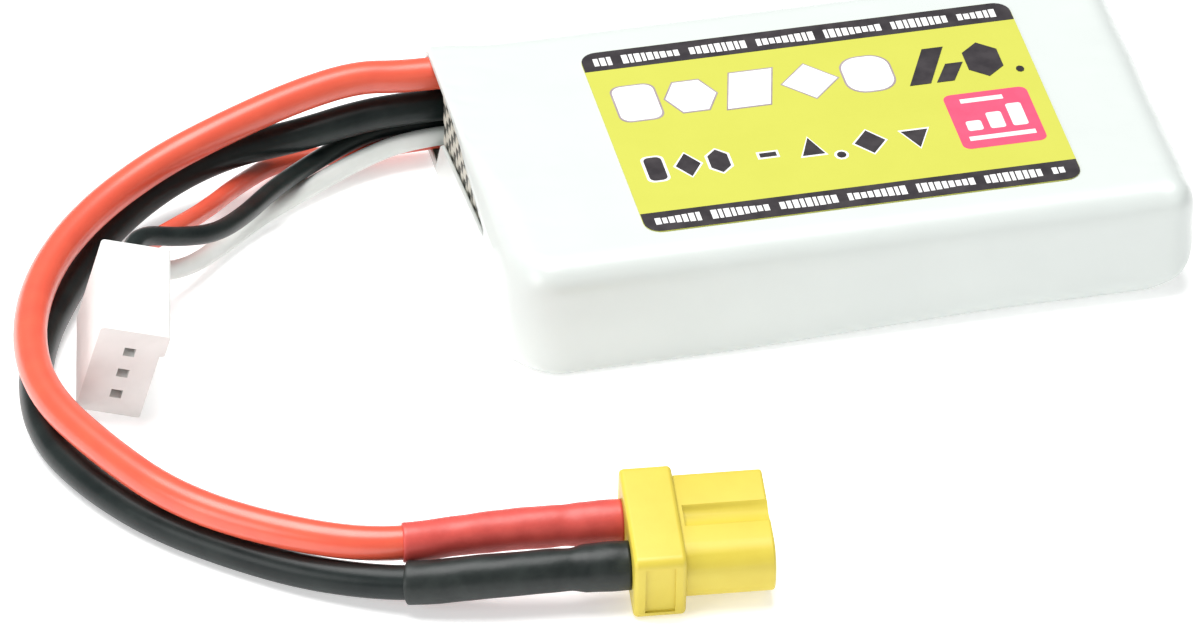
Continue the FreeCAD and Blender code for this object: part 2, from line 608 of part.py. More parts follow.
def make_balance_housing():
    """Three-way crimp housing, built from its mouth along +X with its row along Z."""
    body = new_body("balance_housing")
    shell = new_sketch(body, "shell", "YZ_Plane", ("Sizes.balance_rail / 2", "0", "0"))
    rounded(shell, "Sizes.balance_thick", "Sizes.balance_row", "Sizes.balance_edge")
    pad(body, shell, "Sizes.balance_length")
    rail = new_sketch(body, "rail", "YZ_Plane",
                      ("0", "(Sizes.balance_row - Sizes.balance_rail_width) / 2", "0"))
    rounded(rail, "Sizes.balance_thick + Sizes.balance_rail", "Sizes.balance_rail_width",
            "Sizes.balance_edge")
    pad(body, rail, "Sizes.balance_length")
    rim = new_sketch(body, "rim", "YZ_Plane", ("0", "0", "Sizes.balance_length - Sizes.balance_rim_length"))
    rounded(rim, "Sizes.balance_thick + Sizes.balance_rail", "Sizes.balance_row", "Sizes.balance_edge")
    pad(body, rim, "Sizes.balance_rim_length")
    for row in (1, 0, -1):
        middle = ("0", f"{row} * Sizes.balance_pitch")
        cavity = new_sketch(body, f"cavity_{row + 1}", "YZ_Plane", (*middle, "Sizes.balance_face"))
        rectangle(cavity, "Sizes.balance_cavity", "Sizes.balance_cavity")
        pocket(body, cavity, "Sizes.balance_length - Sizes.balance_face")
        mouth = new_sketch(body, f"mouth_{row + 1}", "YZ_Plane", (*middle, "0"))
        rectangle(mouth, "Sizes.balance_mouth", "Sizes.balance_mouth")
        pocket(body, mouth, "Sizes.balance_face")
    body.Placement = balance_placement()


def make_balance_contacts():
    """One square box contact behind each mouth; its back end meets the lead."""
    outer_size = "Sizes.balance_cavity - 2 * Sizes.contact_play"
    contacts = []
    for row in (1, 0, -1):
        low = ("Sizes.balance_face", f"-({outer_size}) / 2",
               f"{row} * Sizes.balance_pitch - ({outer_size}) / 2")
        hole_low = ("Sizes.balance_face", "-Sizes.balance_socket / 2",
                    f"{row} * Sizes.balance_pitch - Sizes.balance_socket / 2")
        length = "Sizes.balance_length - Sizes.balance_face"
        box = block(f"box_{row + 1}", low, (length, outer_size, outer_size))
        hole = block(f"box_hole_{row + 1}", hole_low,
                     ("Sizes.balance_socket_length", "Sizes.balance_socket", "Sizes.balance_socket"))
        contacts.append(cut(f"box_contact_{row + 1}", box, hole))
    group("balance_contacts", contacts).Placement = balance_placement()


# ---------------------------------------------------------------- leads and sleeves

def full_route(lead):
    """The lead's corner points from the tab board to its contact."""
    across, up = (float(sheet.evalExpression(expression)) for expression in EXITS[lead])
    corner = lead_corner()
    board = corner + Vector(size("board_inset"), across, up)
    straight = board - Vector(MAIN_BOARD_RUN if lead in MAIN_SIDES else BALANCE_BOARD_RUN, 0, 0)
    points = [board, straight] + [corner + Vector(*point) for point in ROUTES[lead]]
    if lead in MAIN_SIDES:
        end = -size("cup_length") - size("cup_gap")
        return points + [contact_axis(lead, end - CUP_RUN), contact_axis(lead, end)]
    back = balance_placement()
    row = BALANCE_ROWS[lead] * size("balance_pitch")
    length = size("balance_length")
    return points + [back.multVec(Vector(along, 0, row)) for along in (length + BALANCE_STUB, length)]


def path_edges(points):
    """Straight runs joined by tangent arcs, each arc as large as its two runs allow."""
    edges = []
    radii = []
    here = points[0]
    for before, corner, after in zip(points, points[1:], points[2:]):
        back = (before - corner).normalize()
        ahead = (after - corner).normalize()
        reach = ARC_SHARE * min(before.distanceToPoint(corner), corner.distanceToPoint(after))
        half_angle = back.getAngle(ahead) / 2
        radius = reach * math.tan(half_angle)
        start = corner + back * reach
        finish = corner + ahead * reach
        centre_way = (back + ahead).normalize()
        distance = (reach ** 2 + radius ** 2) ** 0.5
        middle = corner + centre_way * (distance - radius)
        edges.append(Part.LineSegment(here, start).toShape())
        edges.append(Part.Arc(start, middle, finish).toShape())
        radii.append(radius)
        here = finish
    edges.append(Part.LineSegment(here, points[-1]).toShape())
    return edges, radii


def swept(edges, diameter):
    """Round bar along the edges; its volume has to be its section times its length."""
    wire = Part.Wire(edges)
    first = edges[0]
    ring = Part.Wire(Part.makeCircle(diameter / 2, first.valueAt(first.FirstParameter),
                                     first.tangentAt(first.FirstParameter)))
    bar = wire.makePipeShell([ring], True, False)
    expected = math.pi * (diameter / 2) ** 2 * wire.Length
    if abs(bar.Volume - expected) > NEAR * expected:
        raise RuntimeError(f"tube volume {bar.Volume:.1f}, expected {expected:.1f}")
    return bar


def make_lead(lead):
    diameter = size("lead_diameter" if lead in MAIN_SIDES else "balance_diameter")
    edges, radii = path_edges(full_route(lead))
    tube = doc.addObject("Part::Feature", lead + "_tube")
    tube.Shape = swept(edges, diameter)
    keep(tube, lead)
    length = sum(edge.Length for edge in edges)
    print(f"{lead}: length {length:.1f}, smallest radius {min(radii):.1f}, radii",
          [round(radius, 1) for radius in radii])


def make_cores(lead, node):
    """Bare strands: a stub through the tab board and, on a main lead, one in the solder cup."""
    y, z = exit_expressions(lead)
    core = core_size(lead)
    length = "Sizes.board_thickness + Sizes.solder_height"
    stubs = [rod(f"{node}_board_stub", core, length, (BOARD_FACE, y, z))]
    if lead in MAIN_SIDES:
        cup_end = doc.addObject("Part::Compound", f"{node}_cup_end")
        cup_end.Links = [rod(f"{node}_cup_stub", core,
                             "Sizes.cup_length + Sizes.cup_gap - Sizes.cup_floor",
                             ("-Sizes.cup_length - Sizes.cup_gap",
                              f"{MAIN_SIDES[lead]} * Sizes.contact_pitch / 2", "0"))]
        cup_end.Placement = connector_placement()
        stubs.append(cup_end)
    group(node, stubs)


def make_sleeve(lead, node):
    """Heat-shrink sleeve: along the end of the lead, then wider over the cup."""
    play = size("sleeve_play")
    wall = size("sleeve_wall")
    inner = size("lead_diameter") + 2 * play
    cup_inner = size("cup_outer") + 2 * play
    bend, *tail = path_edges(full_route(lead))[0][-4:]
    start = bend.LastParameter - SLEEVE_BEND * (bend.LastParameter - bend.FirstParameter)
    tail.insert(0, bend.Curve.toShape(start, bend.LastParameter))
    end = contact_axis(lead, -size("cup_length") - size("cup_gap"))
    grip_back = contact_axis(lead, 0)
    along = (grip_back - end).normalize()
    cone_start = end - along * size("sleeve_taper")
    tail[-1] = Part.LineSegment(tail[-1].valueAt(tail[-1].FirstParameter), cone_start).toShape()
    cup_length = (grip_back - end).Length

    def stack(lead_diameter, cup_diameter):
        taper = Part.makeCone(lead_diameter / 2, cup_diameter / 2, size("sleeve_taper"), cone_start, along)
        straight = Part.makeCylinder(cup_diameter / 2, cup_length, end, along)
        return swept(tail, lead_diameter).fuse([taper, straight])

    sleeve = doc.addObject("Part::Feature", node + "_tube")
    sleeve.Shape = stack(inner + 2 * wall, cup_inner + 2 * wall).cut(stack(inner, cup_inner))
    keep(sleeve, node)


# ---------------------------------------------------------------- assembly

make_wrap()
make_label()
for side in ("upper", "lower"):
    make_cell(side)
    for pole in ("positive", "negative"):
        make_tab(side, pole)
make_cell_tape()
make_end_pad()
make_insulating_tape()
make_tab_board()
make_board_solder()
make_end_insulator()
make_connector_housing()
make_contact("positive", 1)
make_contact("negative", -1)
make_cup_solder()
make_balance_housing()
make_balance_contacts()
for lead in EXITS:
    make_lead(lead)
    make_cores(lead, lead.replace("lead", "core"))
make_sleeve("main_lead_red", "sleeve_red")
make_sleeve("main_lead_black", "sleeve_black")

doc.recompute()
for obj in doc.Objects:
    if "Invalid" in obj.State or "Error" in obj.State:
        raise RuntimeError(f"{obj.Label} failed: {obj.State}")
for obj in sub_parts:
    if obj.Shape.isNull() or not obj.Shape.isValid():
        raise RuntimeError(f"{obj.Label} has no valid shape")

os.makedirs("parts", exist_ok=True)
for obj in sub_parts:
    obj.Shape.exportStep(f"parts/{obj.Label}.step")
    print(obj.Label, "solids", len(obj.Shape.Solids), "volume", round(obj.Shape.Volume, 2))
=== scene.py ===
import math

import bmesh
import bpy
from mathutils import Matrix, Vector, noise


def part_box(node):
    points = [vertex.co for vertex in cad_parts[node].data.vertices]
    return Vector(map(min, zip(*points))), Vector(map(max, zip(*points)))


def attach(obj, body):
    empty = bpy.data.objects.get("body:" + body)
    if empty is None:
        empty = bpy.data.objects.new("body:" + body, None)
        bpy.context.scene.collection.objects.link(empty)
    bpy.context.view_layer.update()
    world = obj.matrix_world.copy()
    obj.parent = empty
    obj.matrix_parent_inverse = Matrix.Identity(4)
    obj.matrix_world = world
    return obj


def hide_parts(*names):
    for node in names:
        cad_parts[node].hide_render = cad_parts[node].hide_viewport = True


# The looks of a two-cell battery pack lying on a pale table, with its leads looped towards the viewer.
# Sizes are in millimetres and are scaled by MM where a mesh is made; places come from the CAD boxes.

MM = 0.001

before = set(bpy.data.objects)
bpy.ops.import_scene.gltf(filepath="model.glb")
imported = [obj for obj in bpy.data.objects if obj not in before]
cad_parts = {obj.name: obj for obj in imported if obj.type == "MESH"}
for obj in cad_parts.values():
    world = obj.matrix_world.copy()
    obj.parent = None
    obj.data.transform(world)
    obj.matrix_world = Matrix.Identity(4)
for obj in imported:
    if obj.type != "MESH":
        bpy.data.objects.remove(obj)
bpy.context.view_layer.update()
scene = bpy.context.scene
scene.view_settings.view_transform = "Standard"


# ---------------------------------------------------------------- small helpers

def box_mm(node):
    low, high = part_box(node)
    return low / MM, high / MM


def ease(t):
    """Smooth step from 0 to 1."""
    t = min(max(t, 0.0), 1.0)
    return t * t * (3 - 2 * t)


def mix(a, b, share):
    return a + (b - a) * share


def round_inset(depth, radius):
    """How far a quarter round of that radius stands in from its full size, depth from its start."""
    if depth >= radius or radius <= 0:
        return 0.0
    return radius - math.sqrt(max(radius ** 2 - (radius - depth) ** 2, 0.0))


def between(stations, place):
    """Smooth interpolation through (place, value) pairs."""
    for (a, va), (b, vb) in zip(stations, stations[1:]):
        if place <= b:
            return mix(va, vb, ease((place - a) / (b - a)))
    return stations[-1][1]


def grain(point, scale, seed=0.0):
    """Repeatable noise, about -1 to 1; scale is its feature size in millimetres."""
    return noise.noise(point / scale + Vector((seed, 0.3 * seed, 0.7 * seed)))


def make_piece(name, points, faces, material, smooth=True):
    """A mesh object from points in millimetres, riding on the pack."""
    mesh = bpy.data.meshes.new(name)
    mesh.from_pydata([point * MM for point in points], [], faces)
    mesh.materials.append(material)
    piece = bpy.data.objects.new(name, mesh)
    scene.collection.objects.link(piece)
    tidy = bmesh.new()
    tidy.from_mesh(mesh)
    bmesh.ops.recalc_face_normals(tidy, faces=tidy.faces)
    tidy.to_mesh(mesh)
    tidy.free()
    if smooth:
        mesh.shade_smooth()
    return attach(piece, "root")


def bridge(rings, closed=True):
    """Quads between equal rings of point indices."""
    faces = []
    for lower, upper in zip(rings, rings[1:]):
        count = len(lower)
        for i in range(count if closed else count - 1):
            j = (i + 1) % count
            faces.append((lower[i], lower[j], upper[j], upper[i]))
    return faces


def soften(node, width, segments=3, angle=28):
    """Small rounds on a CAD node's sharp edges."""
    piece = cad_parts[node]
    weld = piece.modifiers.new("weld", "WELD")
    weld.merge_threshold = 0.002 * MM
    bevel = piece.modifiers.new("edge_rounds", "BEVEL")
    bevel.width = width * MM
    bevel.segments = segments
    bevel.limit_method = "ANGLE"
    bevel.angle_limit = math.radians(angle)
    bevel.harden_normals = True
    piece.data.shade_smooth()
    return piece


# ---------------------------------------------------------------- materials

def surface(name, colour, other=None, share_scale=2.0, roughness=0.5, fine=0.3, bump=0.0, spread=0.08,
            **inputs):
    """Moulded, sprayed or cast finish: two close colours in soft patches, uneven gloss and fine grain.
    share_scale and fine are the patches' and the grain's feature sizes in millimetres."""
    made = bpy.data.materials.new(name)
    made.use_nodes = True
    nodes, links = made.node_tree.nodes, made.node_tree.links
    shader = nodes["Principled BSDF"]
    for socket, value in inputs.items():
        shader.inputs[socket.replace("_", " ")].default_value = value
    where = nodes.new("ShaderNodeTexCoord")
    patches = nodes.new("ShaderNodeTexNoise")
    patches.inputs["Scale"].default_value = 1 / (share_scale * MM)
    patches.inputs["Detail"].default_value = 4
    links.new(where.outputs["Object"], patches.inputs["Vector"])
    blend = nodes.new("ShaderNodeMix")
    blend.data_type = "RGBA"
    blend.inputs["A"].default_value = (*colour, 1)
    blend.inputs["B"].default_value = (*(other or [0.9 * c for c in colour]), 1)
    spread_out = nodes.new("ShaderNodeMapRange")
    spread_out.inputs["From Min"].default_value = 0.35
    spread_out.inputs["From Max"].default_value = 0.65
    links.new(patches.outputs["Fac"], spread_out.inputs["Value"])
    links.new(spread_out.outputs["Result"], blend.inputs["Factor"])
    links.new(blend.outputs["Result"], shader.inputs["Base Color"])
    gloss = nodes.new("ShaderNodeMapRange")
    gloss.inputs["To Min"].default_value = max(roughness - spread, 0.02)
    gloss.inputs["To Max"].default_value = min(roughness + spread, 1.0)
    links.new(patches.outputs["Fac"], gloss.inputs["Value"])
    links.new(gloss.outputs["Result"], shader.inputs["Roughness"])
    if bump:
        grit = nodes.new("ShaderNodeTexNoise")
        grit.inputs["Scale"].default_value = 1 / (fine * MM)
        grit.inputs["Detail"].default_value = 3
        links.new(where.outputs["Object"], grit.inputs["Vector"])
        relief = nodes.new("ShaderNodeBump")
        relief.inputs["Strength"].default_value = bump
        relief.inputs["Distance"].default_value = 0.05 * MM
        links.new(grit.outputs["Fac"], relief.inputs["Height"])
        links.new(relief.outputs["Normal"], shader.inputs["Normal"])
    return made


LOOKS = {
    "film": surface("wrap_film", (0.615, 0.655, 0.632), (0.60, 0.64, 0.618), 6, 0.34, 1.6,
                    0.25, Coat_Weight=0.25, Coat_Roughness=0.25),
    "paper": surface("label_paper", (0.55, 0.56, 0.075), (0.535, 0.545, 0.068), 4, 0.42, 0.5, 0.08,
                     Coat_Weight=0.3, Coat_Roughness=0.2),
    "ink": surface("label_ink_black", (0.022, 0.018, 0.022), (0.04, 0.034, 0.038), 1.5, 0.35, 0.4, 0.05),
    "ink_grey": surface("label_ink_grey", (0.30, 0.24, 0.26), (0.36, 0.30, 0.32), 1.5, 0.4, 0.4, 0.05),
    "ink_white": surface("label_ink_white", (0.80, 0.80, 0.79), (0.76, 0.76, 0.75), 1.5, 0.4, 0.4, 0.05),
    "ink_pink": surface("label_ink_pink", (0.80, 0.085, 0.17), (0.74, 0.07, 0.15), 1.5, 0.4, 0.4, 0.05),
    "red_rubber": surface("silicone_red", (0.74, 0.105, 0.055), (0.70, 0.09, 0.048), 3, 0.34, 0.25, 0.12,
                          Coat_Weight=0.35, Coat_Roughness=0.25),
    "black_rubber": surface("silicone_black", (0.006, 0.010, 0.010), (0.014, 0.020, 0.019),
                            3, 0.34, 0.25, 0.15,
                            Specular_IOR_Level=0.25),
    "white_rubber": surface("silicone_white", (0.70, 0.72, 0.70), (0.64, 0.67, 0.64), 3, 0.4, 0.25, 0.12),
    "red_sleeve": surface("sleeve_film_red", (0.64, 0.085, 0.068), (0.56, 0.066, 0.054),
                          1.6, 0.42, 0.6, 0.35),
    "black_sleeve": surface("sleeve_film_black", (0.008, 0.012, 0.011), (0.018, 0.024, 0.022),
                            1.6, 0.42, 0.6, 0.35,
                            Specular_IOR_Level=0.35),
    "yellow": surface("connector_nylon", (0.66, 0.54, 0.066), (0.64, 0.51, 0.058), 3, 0.42, 0.2, 0.12),
    "nylon": surface("housing_nylon", (0.84, 0.85, 0.83), (0.80, 0.81, 0.79), 2.5, 0.42, 0.2, 0.1),
    "gold": surface("contact_gold", (0.82, 0.56, 0.18), (0.70, 0.45, 0.13),
                    0.8, 0.24, 0.15, 0.1, Metallic=1.0),
    "tin": surface("contact_tin", (0.60, 0.60, 0.58), (0.48, 0.48, 0.47),
                   0.8, 0.32, 0.15, 0.1, Metallic=1.0),
    "solder": surface("solder", (0.58, 0.58, 0.56), (0.42, 0.42, 0.41), 0.5, 0.3, 0.2, 0.4, Metallic=1.0),
    "copper": surface("copper_strands", (0.72, 0.34, 0.18), (0.55, 0.24, 0.12),
                      0.3, 0.35, 0.12, 0.8, Metallic=1.0),
    "foil": surface("pouch_foil", (0.55, 0.56, 0.57), (0.48, 0.49, 0.50), 5, 0.3, 0.8, 0.35, Metallic=0.9),
    "aluminium": surface("tab_aluminium", (0.68, 0.69, 0.70), (0.58, 0.59, 0.60),
                         1, 0.3, 0.2, 0.2, Metallic=1.0),
    "nickel": surface("tab_nickel", (0.55, 0.52, 0.47), (0.46, 0.43, 0.39), 1, 0.28, 0.2, 0.2, Metallic=1.0),
    "tape": surface("adhesive_tape", (0.62, 0.60, 0.50), (0.56, 0.54, 0.45), 2, 0.6, 0.4, 0.2),
    "foam": surface("foam", (0.10, 0.10, 0.11), (0.16, 0.16, 0.17), 0.6, 0.9, 0.25, 1.0),
    "polyimide": surface("polyimide", (0.55, 0.25, 0.03), (0.48, 0.20, 0.02), 2, 0.25, 0.6, 0.1),
    "laminate": surface("board_laminate", (0.02, 0.13, 0.06), (0.03, 0.17, 0.08), 1, 0.4, 0.3, 0.2),
}


def woven_look():
    """Coarse plain weave: dark and pale strands by turns, with the strands' fine fibres."""
    made = surface("woven_board", (0.60, 0.58, 0.50), (0.50, 0.49, 0.42), 0.6, 0.5, 0.12, 0.5)
    dark = surface("woven_board_dark", (0.035, 0.040, 0.034), (0.09, 0.095, 0.08), 0.6, 0.45, 0.12, 0.5)
    return made, dark


CAD_LOOKS = {
    "cell_upper": "foil", "cell_lower": "foil", "cell_tape": "tape", "end_pad": "foam",
    "insulating_tape": "polyimide", "tab_board": "laminate", "board_solder": "solder",
    "tab_upper_positive": "aluminium", "tab_lower_positive": "aluminium",
    "tab_upper_negative": "nickel", "tab_lower_negative": "nickel",
    "connector_housing": "yellow", "contact_positive": "gold", "contact_negative": "gold",
    "cup_solder": "solder", "balance_housing": "nylon", "balance_contacts": "tin",
    "main_core_red": "copper", "main_core_black": "copper", "balance_core_black": "copper",
    "balance_core_red": "copper", "balance_core_white": "copper",
}
for node, look in CAD_LOOKS.items():
    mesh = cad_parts[node].data
    mesh.materials.clear()
    mesh.materials.append(LOOKS[look])


# ---------------------------------------------------------------- shrink wrap

WRAP_LOW, WRAP_HIGH = box_mm("wrap")
CLOSED_END = WRAP_HIGH.x + 0.5
LENGTH = CLOSED_END - WRAP_LOW.x
CORNER_TURN = 4.3       # the film's turn round the front corner of the lead end, seen from above
CLOSED_TURN = 2.4       # the same at both corners of the closed end
CLOSED_FOOT = 4.6       # the closed end's rounding below, seen from the side
CLOSED_BROW = 2.2       # the same above
TOP_ROUND = 2.5         # round of the film's upper long edges
DROOP = 2.6             # how far the top film turns down at the front corner of the lead end
OPENING_FRONT = WRAP_LOW.y + 9.5
OPENING_BACK = WRAP_HIGH.y - 0.5
FILM = 0.3              # film thickness
SIDE_STEPS, CORNER_STEPS, HEIGHT_STEPS = 70, 7, 16


def outline(front, back, bottom, top, rounds):
    """Points round a section with four corner radii: front-bottom, back-bottom, back-top, front-top."""
    corners = [(front, bottom, 1, 1), (back, bottom, -1, 1), (back, top, -1, -1), (front, top, 1, -1)]
    centres = [(y + sy * r, z + sz * r) for (y, z, sy, sz), r in zip(corners, rounds)]
    turns = (math.pi, 1.5 * math.pi, 0.0, 0.5 * math.pi)
    steps = (SIDE_STEPS, HEIGHT_STEPS, SIDE_STEPS, HEIGHT_STEPS)
    points = []
    for i in range(4):
        (cy, cz), r = centres[i], rounds[i]
        for k in range(CORNER_STEPS + 1):
            angle = turns[i] + 0.5 * math.pi * k / CORNER_STEPS
            points.append((cy + r * math.cos(angle), cz + r * math.sin(angle)))
        end = turns[i] + 0.5 * math.pi
        (ny, nz), nr = centres[(i + 1) % 4], rounds[(i + 1) % 4]
        here = (cy + r * math.cos(end), cz + r * math.sin(end))
        there = (ny + nr * math.cos(end), nz + nr * math.sin(end))
        for k in range(1, steps[i]):
            points.append((mix(here[0], there[0], k / steps[i]), mix(here[1], there[1], k / steps[i])))
    return points


def droop(y, depth):
    """The top film turns down over the lead end, more and more towards the front corner."""
    fall = DROOP * ease((WRAP_LOW.y + 24 - y) / 16)
    return round_inset(depth, fall)


def film_section(x):
    depth, rest = x - WRAP_LOW.x, CLOSED_END - x
    front = WRAP_LOW.y + round_inset(depth, CORNER_TURN) + round_inset(rest, CLOSED_TURN)
    back = WRAP_HIGH.y - round_inset(depth, 0.6) - round_inset(rest, CLOSED_TURN)
    along = ease((x + 16) / 32)
    bottom = WRAP_LOW.z + 0.1 * along + round_inset(rest, CLOSED_FOOT)
    top = WRAP_HIGH.z - round_inset(rest, CLOSED_BROW)
    near_end = 1 - ease(depth / 4)
    close = 1 - 0.55 * (1 - ease(rest / 3))
    rounds = [mix(0.8, 2.3, along) * close + 1.6 * near_end, mix(0.9, 2.2, along) * close,
              mix(1.4, TOP_ROUND, ease(depth / 6)) * close, (TOP_ROUND + 1.2 * near_end) * close]
    points = []
    for y, z in outline(front, back, bottom, top, rounds):
        high = ease(((z - WRAP_LOW.z) / (WRAP_HIGH.z - WRAP_LOW.z) - 0.45) / 0.5)
        points.append(Vector((x, y, z - high * droop(y, depth))))
    return points


def opening_point(y, z):
    """Where a point of the end's outline falls on the edge of the opening that the leads leave by."""
    share = (y - WRAP_LOW.y) / (WRAP_HIGH.y - WRAP_LOW.y)
    across = mix(OPENING_FRONT, OPENING_BACK, share)
    high_lip = 4.4 + 0.13 * (WRAP_HIGH.y - 6.5 - across)
    lip = mix(high_lip, 0.6, ease((across - WRAP_HIGH.y + 6.9) / 3.0))
    brow = WRAP_HIGH.z - 0.45 - droop(across, 0.0)
    up = (z - WRAP_LOW.z) / (WRAP_HIGH.z - WRAP_LOW.z)
    return Vector((WRAP_LOW.x, across, mix(lip, max(brow, lip + 0.2), up)))


def make_wrap():
    depths = [0.3, 0.5, 0.8, 1.2, 1.6, 2.1, 2.7, 3.4, 4.2, 5.0]
    depths += [mix(5.0, LENGTH - 4.0, k / 70) for k in range(1, 71)]
    depths += [LENGTH - rest
               for rest in (3.6, 3.2, 2.8, 2.4, 2.0, 1.6, 1.25, 0.95, 0.7, 0.48, 0.3, 0.16, 0.06)]
    rings = [film_section(WRAP_LOW.x + depth) for depth in depths]
    first = rings[0]
    edge = [opening_point(point.y, point.z) for point in first]
    rolled = []
    # The film turned in over the end: share of the way out from the opening's edge, and depth.
    for share, depth in ((0.9916, 0.08), (0.86, 0.04), (0.7, 0.0), (0.5, 0.0), (0.3, 0.02), (0.12, 0.08),
                         (0.03, 0.02)):
        ring = []
        for outer, inner in zip(film_section(WRAP_LOW.x + 0.02), edge):
            point = inner.lerp(outer, share)
            ring.append(Vector((WRAP_LOW.x + depth, point.y, point.z)))
        rolled.append(ring)
    last = rings[-1]
    middle = 0.5 * (min(point.z for point in last) + max(point.z for point in last))
    closing = []
    for share in (0.93, 0.8, 0.6, 0.35):
        closing.append([Vector((mix(CLOSED_END, last[0].x, share ** 2), point.y * mix(0.8, 1.0, share),
                                mix(middle, point.z, share))) for point in last])
    everything = [edge] + rolled[::-1] + rings + closing
    points, order = [], []
    for ring in everything:
        order.append(list(range(len(points), len(points) + len(ring))))
        points.extend(ring)
    faces = bridge(order)
    faces.append(tuple(order[-1]))
    piece = make_piece("wrap_shrink_film", points, faces, LOOKS["film"])
    ripple(piece)
    thickness = piece.modifiers.new("film", "SOLIDIFY")
    thickness.thickness = FILM * MM
    thickness.offset = -1
    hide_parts("wrap")


def ripple(piece):
    """Slack and creases of shrunk film, strongest at the ends and on the long sides."""
    label_low, label_high = box_mm("label")
    for vertex in piece.data.vertices:
        p = vertex.co / MM
        depth, rest = p.x - WRAP_LOW.x, WRAP_HIGH.x - p.x
        if depth < 0.4:
            continue
        under_label = (ease((p.x - label_low.x + 1.5) / 1.5) * ease((label_high.x + 1.5 - p.x) / 1.5)
                       * ease((p.y - label_low.y + 1.5) / 1.5) * ease((label_high.y + 1.5 - p.y) / 1.5)
                       * ease((p.z - 9.5) / 0.6))
        ends = 1.5 * (1 - ease(depth / 9)) + 1.0 * (1 - ease(rest / 10))
        pull = Vector((p.x * 0.55, p.y, p.z * 1.3))
        swell = (0.03 + 0.05 * ends) * grain(pull, 5.5, 3.1) + 0.012 * ends * grain(p, 1.6, 8.2)
        crease = abs(grain(Vector((p.x * 0.35, p.y * 1.4, p.z * 1.4)), 3.6, 5.7))
        swell -= 0.03 * (0.25 + ends) * max(0.0, 0.12 - crease) / 0.12
        vertex.co += vertex.normal * (swell - 0.02) * (1 - 0.96 * under_label) * MM


make_wrap()


# ---------------------------------------------------------------- woven end board

def make_woven_board():
    """Plain weave in relief on the end board: raised strands crossing, dark and pale by turns."""
    low, high = box_mm("end_insulator")
    cell, steps = 0.95, 6
    front, back = OPENING_FRONT - 1.5, high.y
    across = int((back - front) / cell)
    up = int((high.z - low.z) / cell)
    points, faces, dark = [], [], []
    columns, rows = across * steps + 1, up * steps + 1
    for j in range(rows):
        for i in range(columns):
            u, v = i / steps, j / steps
            over = 1 if (int(u - 1e-6) + int(v - 1e-6)) % 2 else -1
            crown = abs(math.sin(math.pi * u)) * abs(math.sin(math.pi * v))
            depth = 0.10 * (1 - crown ** 0.5) + (0.03 if over > 0 else 0.0)
            y = front + (back - front) * u / across
            under_film = WRAP_HIGH.z - 0.5 - droop(y, low.x - WRAP_LOW.x)
            points.append(Vector((low.x + depth, y, min(low.z + (high.z - low.z) * v / up, under_film))))
    for j in range(rows - 1):
        for i in range(columns - 1):
            a = j * columns + i
            faces.append((a, a + 1, a + columns + 1, a + columns))
            dark.append((i // steps + j // steps) % 2)
    pale_look, dark_look = woven_look()
    piece = make_piece("end_board_weave", points, faces, pale_look)
    piece.data.materials.append(dark_look)
    for polygon, is_dark in zip(piece.data.polygons, dark):
        polygon.material_index = is_dark
    thickness = piece.modifiers.new("board", "SOLIDIFY")
    thickness.thickness = 0.4 * MM
    thickness.offset = 1 if piece.data.polygons[0].normal.x > 0 else -1
    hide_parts("end_insulator")


make_woven_board()


# ---------------------------------------------------------------- label

LABEL_LOW, LABEL_HIGH = box_mm("label")
LABEL_SIZE = LABEL_HIGH - LABEL_LOW
BAND = 2.7              # width of the dark band along each long edge
LAYER = 0.012           # one layer of ink


def bar(u0, u1, v0, v1, radius=0.0):
    """Outline of a bar on the label, round-cornered; u runs along it and v across, from its front left."""
    if radius <= 0:
        return [(u0, v0), (u1, v0), (u1, v1), (u0, v1)]
    points = []
    for cu, cv, start in ((u1 - radius, v0 + radius, -90), (u1 - radius, v1 - radius, 0),
                          (u0 + radius, v1 - radius, 90), (u0 + radius, v0 + radius, 180)):
        for k in range(7):
            angle = math.radians(start + 15 * k)
            points.append((cu + radius * math.cos(angle), cv + radius * math.sin(angle)))
    return points


def band(u0, u1, edge, inner, radius):
    """Outline of a band whose corners are round along its outer edge only."""
    way = 1 if inner > edge else -1
    points = [(u1, inner), (u0, inner)]
    for cu, start in ((u0 + radius, 180), (u1 - radius, 270)):
        for k in range(7):
            angle = math.radians(start + 15 * k)
            points.append((cu + radius * math.cos(angle), edge + way * radius * (1 + math.sin(angle))))
    return points


def regular(u, v, width, height, sides, turn=0.0):
    """Outline of a polygon that fills a width and height."""
    angles = [math.radians(turn) + 2 * math.pi * k / sides for k in range(sides)]
    return [(u + 0.5 * width * math.cos(a), v + 0.5 * height * math.sin(a)) for a in angles]


def grown(shape, margin):
    """The outline made larger on every side by about margin."""
    us, vs = [p[0] for p in shape], [p[1] for p in shape]
    cu, cv = 0.5 * (min(us) + max(us)), 0.5 * (min(vs) + max(vs))
    ku = 1 + 2 * margin / (max(us) - min(us))
    kv = 1 + 2 * margin / (max(vs) - min(vs))
    return [(cu + (u - cu) * ku, cv + (v - cv) * kv) for u, v in shape]


def print_layer(name, shapes, level, look, base=None):
    """Thin prisms on the label; level counts ink layers above it."""
    points, faces = [], []
    low = LABEL_HIGH.z - LAYER if base is None else base
    high = LABEL_HIGH.z + level * LAYER
    for shape in shapes:
        start, count = len(points), len(shape)
        for z in (low, high):
            points += [Vector((LABEL_LOW.x + u, LABEL_LOW.y + v, z)) for u, v in shape]
        faces.append(tuple(range(start + count - 1, start - 1, -1)))
        faces.append(tuple(range(start + count, start + 2 * count)))
        for i in range(count):
            j = (i + 1) % count
            faces.append((start + i, start + j, start + count + j, start + count + i))
    piece = make_piece(name, points, faces, look, smooth=False)
    return piece


